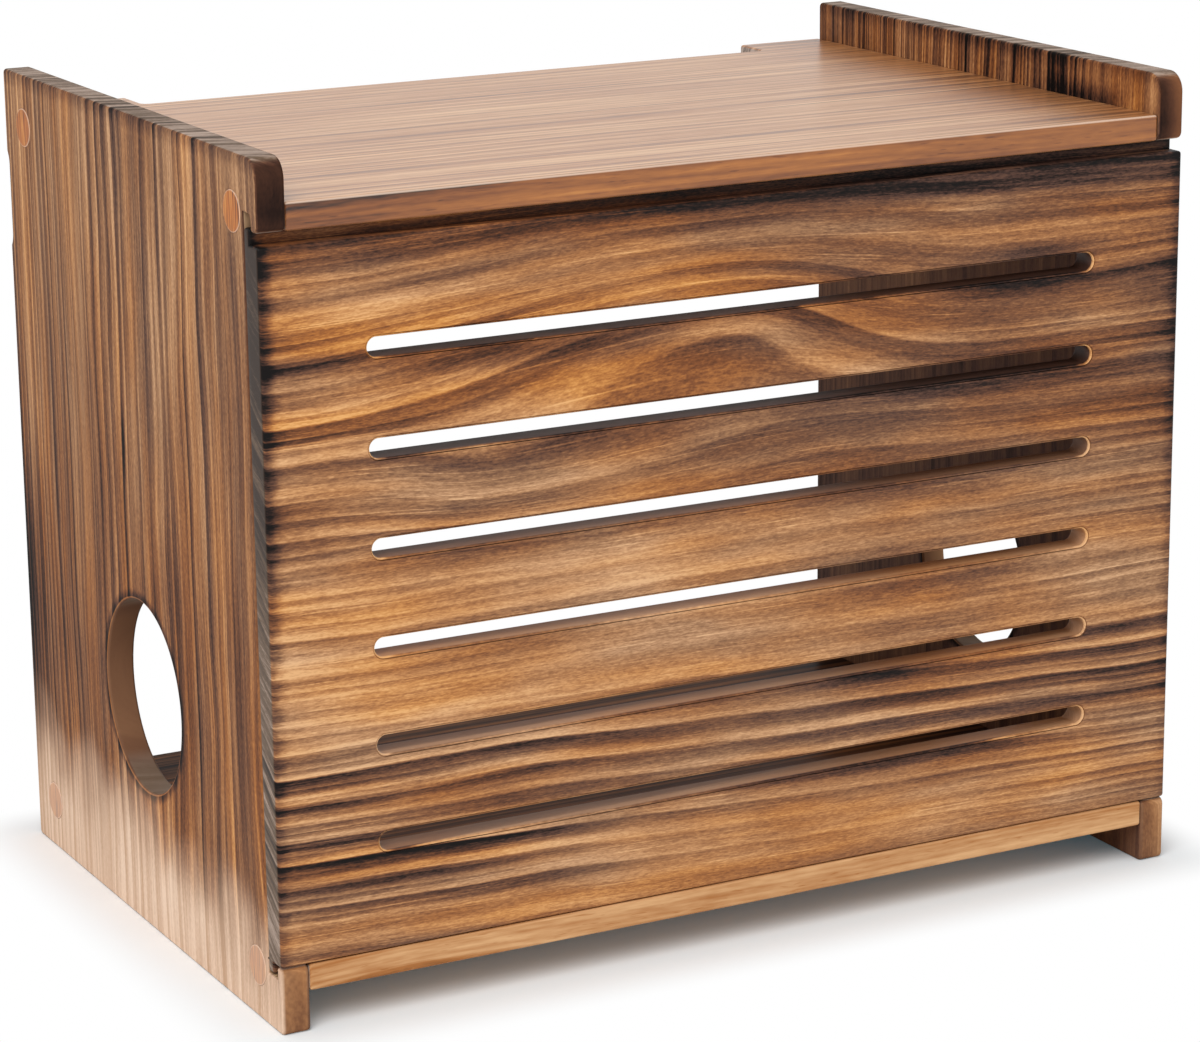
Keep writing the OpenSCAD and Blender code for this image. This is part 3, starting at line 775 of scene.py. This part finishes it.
def zinc_plate(colours):
    """Bright zinc-plated steel: pale metal with a slightly cloudy, fine-grained sheen."""
    material, tree = new_material("zinc_plated_steel")
    add = partial(node, tree)
    cloud = streaks(tree, grain_place(tree, "XYZ")[-1], (1.5, 1.5, 1.5), 3)
    shader = add(PRINCIPLED, named={
        "Base Color": (*colours.zinc, 1),
        "Metallic": 1,
        "Roughness": add(RANGE, cloud, 0, 1, 0.25, 0.45),
    })
    add(OUTPUT, named={"Surface": shader})
    return material


def black_coat(colours):
    """Black powder-coated steel: dark satin with a fine orange-peel texture, drawn coarse to show."""
    material, tree = new_material("black_coated_steel")
    add = partial(node, tree)
    peel = streaks(tree, grain_place(tree, "XYZ")[-1], (0.5, 0.5, 0.5), 2)
    shader = add(PRINCIPLED, named={
        "Base Color": (*colours.black, 1),
        "Roughness": 0.45,
        "IOR": 1.5,
        "Normal": add(BUMP, named={"Height": peel, "Strength": 0.25, "Distance": 0.05 * MM}),
    })
    add(OUTPUT, named={"Surface": shader})
    return material


FINISHES = {
    "burnt_pine_front": burnt_pine_front,
    "burnt_pine_side": burnt_pine_side,
    "burnt_pine_top": partial(burnt_pine_board, name="burnt_pine_top", shine=0.5),
    "burnt_pine_bottom": partial(burnt_pine_board, name="burnt_pine_bottom", shine=0.01),
    "raw_pine": raw_pine,
    "stained_plug_wood": plug_wood,
    "zinc_plated_steel": zinc_plate,
    "black_coated_steel": black_coat,
}


def finish_named(name):
    """The finish of that name, made the first time that it is asked for."""
    found = bpy.data.materials.get(name)
    return found or FINISHES[name](bpy.context.scene.storage_box_colours)


def place_in_mesh(name, finish):
    """Moves the new primitive's place into its mesh, names it and gives it a finish."""
    bpy.ops.object.transform_apply(location=True, rotation=True, scale=True)
    piece = bpy.context.object
    piece.name = name
    piece.data.name = name
    piece.data.materials.append(finish_named(finish))
    return piece


def add_block(name, low, high, finish):
    """A block from its lowest to its highest corner."""
    bpy.ops.object.select_all(action="DESELECT")
    low, high = Vector(low), Vector(high)
    bpy.ops.mesh.primitive_cube_add(size=1, location=(low + high) / 2, scale=high - low)
    return place_in_mesh(name, finish)


def add_rod(name, start, end, radius, finish, end_radius=None, sides=64):
    """A round rod between two points, which may taper."""
    bpy.ops.object.select_all(action="DESELECT")
    start, end = Vector(start), Vector(end)
    run = end - start
    bpy.ops.mesh.primitive_cone_add(
        vertices=sides, radius1=radius, radius2=radius if end_radius is None else end_radius,
        depth=run.length, location=(start + end) / 2, rotation=run.to_track_quat("Z", "Y").to_euler(),
    )
    return place_in_mesh(name, finish)


def select_only(piece):
    """Selects one piece and makes it the active one."""
    bpy.ops.object.select_all(action="DESELECT")
    piece.select_set(True)
    bpy.context.view_layer.objects.active = piece


def pick(piece, kind, wanted):
    """Opens a piece in edit mode with only the wanted vertices, edges or faces selected."""
    select_only(piece)
    bpy.ops.object.mode_set(mode="EDIT")
    bpy.ops.mesh.select_mode(type=kind)
    bpy.ops.mesh.select_all(action="DESELECT")
    mesh = bmesh.from_edit_mesh(piece.data)
    for element in {"VERT": mesh.verts, "EDGE": mesh.edges, "FACE": mesh.faces}[kind]:
        element.select_set(wanted(element))
    bmesh.update_edit_mesh(piece.data)


def close_piece():
    """Leaves edit mode."""
    bpy.ops.object.mode_set(mode="OBJECT")


def round_edges(piece, radius, segments, **place):
    """Rounds the sharp outer edges that lie at the given x, y or z, or all of them."""
    def wanted(edge):
        here = all(abs(getattr(v.co, axis) - at) < NEAR for v in edge.verts for axis, at in place.items())
        return here and edge.is_convex and edge.calc_face_angle(0) > SHARP

    pick(piece, "EDGE", wanted)
    bpy.ops.mesh.bevel(offset=radius, segments=segments, affect="EDGES", clamp_overlap=False)
    close_piece()


def cut(piece, cutter):
    """Takes a cutter out of a piece; the cut faces take the cutter's finish."""
    modifier = piece.modifiers.new("cut", "BOOLEAN")
    modifier.operation = "DIFFERENCE"
    modifier.solver = "EXACT"
    modifier.material_mode = "TRANSFER"
    modifier.object = cutter
    bpy.context.view_layer.objects.active = piece
    bpy.ops.object.modifier_apply(modifier=modifier.name)
    bpy.data.objects.remove(cutter)


def flared_rod(start, end, radius, ease, finish, sides):
    """Cutter of a round hole between two faces, flared at both so that the hole gets rounded rims."""
    start, end = Vector(start), Vector(end)
    way = (end - start).normalized()
    cutter = add_rod("cutter", start + way * ease, end - way * ease, radius, finish, sides=sides)
    steps = 4
    for out in (-way, way):
        pick(cutter, "FACE", lambda face: face.normal.dot(out) > 0.9)
        reach, width = 0, radius
        for step in range(1, steps + 1):
            turn = math.pi / 2 * step / steps
            next_reach = ease * math.sin(turn)
            next_width = radius + ease * (1 - math.cos(turn))
            bpy.ops.mesh.extrude_region_move(TRANSFORM_OT_translate={"value": out * (next_reach - reach)})
            grow = [1 if abs(part) > 0.9 else next_width / width for part in way]
            bpy.ops.transform.resize(value=grow, center_override=start)
            reach, width = next_reach, next_width
        bpy.ops.mesh.extrude_region_move(TRANSFORM_OT_translate={"value": out * OVER})
        close_piece()
    return cutter


def stretch(cutter, middle, half):
    """Pulls the two halves of a round cutter apart by the vector half, each way from its middle."""
    for move in (-half, half):
        pick(cutter, "VERT", lambda vertex: (vertex.co - middle).dot(move) > 0)
        bpy.ops.transform.translate(value=move)
        close_piece()


def copy_piece(piece, name, move, mirrored):
    """A copy with a mesh of its own, mirrored left to right if asked, and then moved."""
    select_only(piece)
    bpy.ops.object.duplicate()
    copy = bpy.context.object
    copy.name = name
    copy.data.name = name
    copy.location = move
    if mirrored:
        copy.scale.x = -1
    bpy.ops.object.transform_apply(location=True, rotation=True, scale=True)
    if mirrored:
        pick(copy, "FACE", lambda face: True)
        bpy.ops.mesh.normals_make_consistent(inside=False)
        close_piece()
    return copy


def finish_piece(piece, body, node_name):
    """Smooths a piece's shading and fixes it to its body, in the place of its CAD node."""
    select_only(piece)
    bpy.ops.object.shade_smooth_by_angle(angle=SHARP)
    modifier = piece.modifiers.new("even_normals", "WEIGHTED_NORMAL")
    modifier.keep_sharp = True
    bpy.ops.object.modifier_apply(modifier=modifier.name)
    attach(piece, body)
    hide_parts(node_name)


def ends_along_x(low, high, start_x, end_x):
    """Two points on a box's middle line along x, at the given places."""
    start, end = (low + high) / 2, (low + high) / 2
    start.x, end.x = start_x, end_x
    return start, end


def upper_groove(sizes, low_x, high_x):
    """Cutter of the groove above the front panel."""
    rear = PANEL_HIGH.y + sizes.panel_play
    front = rear - sizes.upper_groove_width
    top = TOP_LOW.z + sizes.upper_groove_height
    cutter = add_block("cutter", (low_x, front, TOP_LOW.z - OVER), (high_x, rear, top), "raw_pine")
    round_edges(cutter, sizes.upper_groove_round, 6, y=front, z=top)
    return cutter


def lower_groove(sizes, low_x, high_x):
    """Cutter of the groove below the front panel."""
    rear = PANEL_HIGH.y + sizes.panel_play
    front = rear - sizes.lower_groove_width
    floor = BOTTOM_HIGH.z - sizes.lower_groove_depth
    return add_block("cutter", (low_x, front, floor), (high_x, rear, BOTTOM_HIGH.z + OVER), "raw_pine")


def cut_screw_holes(piece, sizes, names):
    """Cuts the hole of each long screw, and its countersink."""
    for name in names:
        low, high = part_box(name)
        start, end = ends_along_x(low, high, *((low.x, high.x) if low.x < 0 else (high.x, low.x)))
        way = (end - start).normalized()
        sink = (sizes.screw_sink - sizes.screw_hole) / 2
        bore = sizes.screw_hole / 2
        cut(piece, add_rod("cutter", start - way * OVER, end + way * OVER, bore, "raw_pine", sides=24))
        cut(piece, add_rod("cutter", start, start + way * sink, sizes.screw_sink / 2, "raw_pine", bore, 24))


class STORAGEBOX_OT_side_panels(bpy.types.Operator):
    """Models the two side panels with their horns, feet, grooves, cable holes and plug seats"""

    bl_idname = "storage_box.side_panels"
    bl_label = "Side Panels"

    def execute(self, context):
        sizes = context.scene.storage_box_sizes
        panel = self.outline(sizes)
        self.holes(panel, sizes)
        self.mortise(panel, sizes)
        mirrored = copy_piece(panel, "left_side_wood", (0, 0, 0), True)
        finish_piece(panel, "case", "right_side_panel")
        finish_piece(mirrored, "case", "left_side_panel")
        return {"FINISHED"}

    def outline(self, sizes):
        """The right-hand panel's outline: horn, recess for the front panel, grooves and foot."""
        panel = add_block("right_side_wood", SIDE_LOW, SIDE_HIGH, "burnt_pine_side")
        low_x, high_x = SIDE_LOW.x - OVER, SIDE_HIGH.x + OVER
        round_edges(panel, sizes.horn_round, 10, y=SIDE_LOW.y, z=SIDE_HIGH.z)
        for y, z in ((SIDE_HIGH.y, SIDE_HIGH.z), (SIDE_HIGH.y, SIDE_LOW.z), (SIDE_LOW.y, SIDE_LOW.z)):
            round_edges(panel, sizes.corner_round, 4, y=y, z=z)
        recess = PANEL_HIGH.y + sizes.panel_play
        ledge, ceiling = BOTTOM_HIGH.z, TOP_LOW.z
        low, high = (low_x, SIDE_LOW.y - OVER, ledge), (high_x, recess, ceiling)
        cut(panel, add_block("cutter", low, high, "burnt_pine_side"))
        for level in (ledge, ceiling):
            round_edges(panel, sizes.lip_round, 6, y=SIDE_LOW.y, z=level)
        cut(panel, upper_groove(sizes, low_x, high_x))
        cut(panel, lower_groove(sizes, low_x, high_x))
        round_edges(panel, sizes.ease, 3)
        return panel

    def holes(self, panel, sizes):
        """The cable hole, the seats of the plugs and the holes of the screws."""
        centre = Vector(HOLE["pos_m"])
        inner, outer = ends_along_x(centre, centre, SIDE_LOW.x, SIDE_HIGH.x)
        cut(panel, flared_rod(inner, outer, HOLE_R, sizes.ease, "burnt_pine_side", 96))
        for corner in CORNERS:
            low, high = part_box("right_plug_" + corner)
            seat, face = ends_along_x(low, high, low.x, high.x + OVER)
            cut(panel, add_rod("cutter", seat, face, (high.z - low.z) / 2 + sizes.plug_gap, "raw_pine"))
        cut_screw_holes(panel, sizes, ["right_screw_" + corner for corner in CORNERS])

    def mortise(self, panel, sizes):
        """The mortise of the hanger plate in the rear edge, and the pocket behind its keyhole."""
        low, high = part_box("right_hanger_plate")
        left, right = SIDE_LOW.x - OVER, SIDE_HIGH.x + OVER
        ends = (low.z - sizes.mortise_room, high.z + sizes.mortise_room)
        far_corner = (right, SIDE_HIGH.y + OVER, ends[1])
        cut(panel, add_block("cutter", (left, low.y, ends[0]), far_corner, "raw_pine"))
        bend = low.y + sizes.mortise_round
        for end in ends:
            start, stop = (left, bend, end), (right, bend, end)
            cut(panel, add_rod("cutter", start, stop, sizes.mortise_round, "raw_pine"))
        mouth = (low + high) / 2
        mouth.y = low.y + OVER
        back = mouth - Vector((0, sizes.pocket_depth + OVER, 0))
        pocket = add_rod("cutter", mouth, back, sizes.pocket_width / 2, "raw_pine", sides=30)
        stretch(pocket, mouth, Vector((0, 0, sizes.pocket_rise / 2)))
        cut(panel, pocket)


class STORAGEBOX_OT_shelf_boards(bpy.types.Operator):
    """Models the top board with its cable notch, and the bottom board, each with its groove"""

    bl_idname = "storage_box.shelf_boards"
    bl_label = "Top and Bottom Boards"

    def execute(self, context):
        sizes = context.scene.storage_box_sizes
        top = add_block("top_board_wood", TOP_LOW, TOP_HIGH, "burnt_pine_top")
        half = TOP_HIGH.x - sizes.notch_tab
        wall = TOP_HIGH.y - sizes.notch_depth
        far_corner = (half, TOP_HIGH.y + OVER, TOP_HIGH.z + OVER)
        notch = add_block("cutter", (-half, wall, TOP_LOW.z - OVER), far_corner, "burnt_pine_top")
        for x in (-half, half):
            round_edges(notch, sizes.notch_round, 5, x=x, y=wall)
        cut(top, notch)
        bottom = add_block("bottom_board_wood", BOTTOM_LOW, BOTTOM_HIGH, "burnt_pine_bottom")
        for board, level, groove in ((top, "top", upper_groove), (bottom, "bottom", lower_groove)):
            round_edges(board, sizes.ease, 3)
            cut(board, groove(sizes, TOP_LOW.x - OVER, TOP_HIGH.x + OVER))
            screws = [f"{side}_screw_{level}_{end}" for side in SIDES for end in ("front", "rear")]
            cut_screw_holes(board, sizes, screws)
            finish_piece(board, "case", level + "_board")
        return {"FINISHED"}


class STORAGEBOX_OT_front_panel(bpy.types.Operator):
    """Models the front panel with its two tongues and its long slots"""

    bl_idname = "storage_box.front_panel"
    bl_label = "Front Panel"

    def execute(self, context):
        sizes = context.scene.storage_box_sizes
        low_z = BOTTOM_HIGH.z + sizes.seat_gap
        high_z = TOP_LOW.z - sizes.lift_gap
        low, high = (PANEL_LOW.x, PANEL_LOW.y, low_z), (PANEL_HIGH.x, PANEL_HIGH.y, high_z)
        panel = add_block("front_panel_wood", low, high, "burnt_pine_front")
        step = PANEL_HIGH.y - sizes.tongue
        pick(panel, "FACE", lambda face: True)
        bpy.ops.mesh.bisect(plane_co=(0, step, 0), plane_no=(0, 1, 0))
        close_piece()
        for run in (PANEL_HIGH.z - high_z, PANEL_LOW.z - low_z):
            pick(panel, "FACE", lambda face: face.normal.z * run > 0 and face.calc_center_median().y > step)
            bpy.ops.mesh.extrude_region_move(TRANSFORM_OT_translate={"value": (0, 0, run)})
            close_piece()
        round_edges(panel, sizes.ease, 3)
        radius = sizes.slot_height / 2
        half = Vector((PANEL_HIGH.x - sizes.slot_end - radius, 0, 0))
        for level in SLOT_LEVELS:
            front, rear = Vector((0, PANEL_LOW.y, level)), Vector((0, PANEL_HIGH.y, level))
            cutter = flared_rod(front, rear, radius, sizes.slot_ease, "burnt_pine_front", 50)
            stretch(cutter, front, half)
            cut(panel, cutter)
        finish_piece(panel, "lift_out_front", "front_panel")
        return {"FINISHED"}


class STORAGEBOX_OT_plugs(bpy.types.Operator):
    """Models the round wooden plugs over the screw heads"""

    bl_idname = "storage_box.plugs"
    bl_label = "Plugs"

    def execute(self, context):
        sizes = context.scene.storage_box_sizes
        low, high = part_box("right_plug_top_front")
        middle = (low + high) / 2
        seat, face = ends_along_x(low, high, low.x, high.x)
        pattern = add_rod("plug", seat, face, (high.z - low.z) / 2, "stained_plug_wood")
        round_edges(pattern, sizes.plug_chamfer, 2, x=face.x)
        for side in SIDES:
            for corner in CORNERS:
                name = f"{side}_plug_{corner}"
                low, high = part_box(name)
                move = (low + high) / 2 - middle
                move.x = 0
                plug = copy_piece(pattern, name + "_wood", move, side == "left")
                finish_piece(plug, "case", name)
        bpy.data.objects.remove(pattern)
        return {"FINISHED"}


class STORAGEBOX_OT_fittings(bpy.types.Operator):
    """Gives the screws and the hanger plates their metal finishes"""

    bl_idname = "storage_box.fittings"
    bl_label = "Fittings"

    def execute(self, context):
        finishes = {"_screw_": "zinc_plated_steel", "_hanger_plate": "black_coated_steel"}
        for name, piece in frame["nodes"].items():
            for part, finish in finishes.items():
                if part in name:
                    for slot in piece.material_slots:
                        slot.material = finish_named(finish)
        return {"FINISHED"}


class STORAGEBOX_OT_stage(bpy.types.Operator):
    """Sets up the camera, the soft light and the white floor"""

    bl_idname = "storage_box.stage"
    bl_label = "Stage"

    def execute(self, context):
        studio = context.scene.storage_box_studio
        context.scene.view_settings.view_transform = "Standard"
        self.camera(context, studio)
        self.surround(context, studio)
        self.softbox(studio)
        self.floor(studio)
        return {"FINISHED"}

    def camera(self, context, studio):
        """The camera at the photograph's place and turn."""
        yaw, pitch, roll = studio.yaw, studio.pitch, studio.roll
        ahead = Vector((-math.sin(yaw) * math.cos(pitch), math.cos(yaw) * math.cos(pitch), math.sin(pitch)))
        level = Vector((math.cos(yaw), math.sin(yaw), 0))
        down = ahead.cross(level)
        right = math.cos(roll) * level + math.sin(roll) * down
        down = math.cos(roll) * down - math.sin(roll) * level
        bpy.ops.object.camera_add()
        camera = context.object
        camera.name = "camera"
        camera.data.sensor_width = 36
        camera.data.lens = studio.focal_px / studio.picture_px * camera.data.sensor_width
        turn = Matrix((right, -down, -ahead)).transposed().to_4x4()
        camera.matrix_world = Matrix.Translation(studio.eye) @ turn
        context.scene.camera = camera

    def surround(self, context, studio):
        """A white surround: plain white to the eye and in reflections, softer as a light."""
        world = bpy.data.worlds.new("white_surround")
        world.use_nodes = True
        tree = world.node_tree
        tree.nodes.clear()
        add = partial(node, tree)
        path = add("ShaderNodeLightPath")
        seen = add(MAXIMUM, path.outputs["Is Camera Ray"], path.outputs["Is Glossy Ray"])
        seen = add(MAXIMUM, seen, path.outputs["Is Transmission Ray"])
        level = add(RANGE, seen, 0, 1, studio.dome_level, 1)
        back = add("ShaderNodeBackground", named={"Color": (1, 1, 1, 1), "Strength": level})
        add("ShaderNodeOutputWorld", named={"Surface": back})
        context.scene.world = world

    def softbox(self, studio):
        """One large softbox, above and to the left of the front."""
        place = Vector((-1.1, -1.2, 1.7))
        target = Vector((0, 0, 0.15))
        bpy.ops.object.light_add(type="AREA", location=place)
        lamp = bpy.context.object
        lamp.name = "key_softbox"
        lamp.rotation_euler = (target - place).to_track_quat("-Z", "Y").to_euler()
        lamp.data.shape = "DISK"
        lamp.data.size = 1.6
        lamp.data.energy = studio.key_power

    def floor(self, studio):
        """A white floor that keeps the shadow near the box and fades into the surround."""
        bpy.ops.object.select_all(action="DESELECT")
        bpy.ops.mesh.primitive_circle_add(vertices=96, radius=6, fill_type="NGON")
        floor = bpy.context.object
        floor.name = "floor"
        material, tree = new_material("white_floor")
        add = partial(node, tree)
        place = add("ShaderNodeTexCoord").outputs["Object"]
        # Distance from the ground that the box covers
        away = add(VECTOR_SUBTRACT, add(VECTOR_ABSOLUTE, place), (SIDE_HIGH.x, SIDE_HIGH.y, 0))
        away = add(VECTOR_LENGTH, add(VECTOR_MAXIMUM, away, (0, 0, 0)))
        fade = add(SMOOTH, away, 0, studio.shadow_reach)
        paper = add("ShaderNodeBsdfDiffuse", named={"Color": (*(studio.floor_grey,) * 3, 1)})
        # The cool glow is needed only in front, where the wood throws warm light into the shadow
        ahead = add(RANGE, add(SEPARATE, place).outputs["Y"], 0, SIDE_LOW.y * 0.6)
        glowing = add(MULTIPLY, add("ShaderNodeLightPath").outputs["Is Camera Ray"], ahead)
        cool = add("ShaderNodeEmission", named={"Color": (*studio.shadow_tint, 1), "Strength": glowing})
        lifted = add("ShaderNodeAddShader", paper, cool)
        glow = add("ShaderNodeEmission", named={"Color": (1, 1, 1, 1), "Strength": 1})
        add(OUTPUT, named={"Surface": add("ShaderNodeMixShader", fade, lifted, glow)})
        floor.data.materials.append(material)


class STORAGEBOX_PT_panel(bpy.types.Panel):
    """Lists the steps that dress the box"""

    bl_idname = "STORAGEBOX_PT_panel"
    bl_label = "Storage Box"
    bl_space_type = "VIEW_3D"
    bl_region_type = "UI"
    bl_category = "Storage Box"

    def draw(self, context):
        for step in STEPS:
            self.layout.operator(step.bl_idname)
        for group in GROUPS:
            settings = getattr(context.scene, group)
            for setting in settings.bl_rna.properties.keys():
                if setting not in ("rna_type", "name"):
                    self.layout.prop(settings, setting)


STEPS = (
    STORAGEBOX_OT_side_panels,
    STORAGEBOX_OT_shelf_boards,
    STORAGEBOX_OT_front_panel,
    STORAGEBOX_OT_plugs,
    STORAGEBOX_OT_fittings,
    STORAGEBOX_OT_stage,
)
GROUPS = {
    "storage_box_sizes": StorageBoxSizes,
    "storage_box_colours": StorageBoxColours,
    "storage_box_studio": StorageBoxStudio,
}
CLASSES = (*GROUPS.values(), *STEPS, STORAGEBOX_PT_panel)


def register():
    for made in CLASSES:
        bpy.utils.register_class(made)
    for name, group in GROUPS.items():
        setattr(bpy.types.Scene, name, PointerProperty(type=group))


def unregister():
    for name in GROUPS:
        delattr(bpy.types.Scene, name)
    for made in reversed(CLASSES):
        bpy.utils.unregister_class(made)


def main():
    register()
    bpy.ops.storage_box.side_panels()
    bpy.ops.storage_box.shelf_boards()
    bpy.ops.storage_box.front_panel()
    bpy.ops.storage_box.plugs()
    bpy.ops.storage_box.fittings()
    bpy.ops.storage_box.stage()


if __name__ == "__main__":
    main()
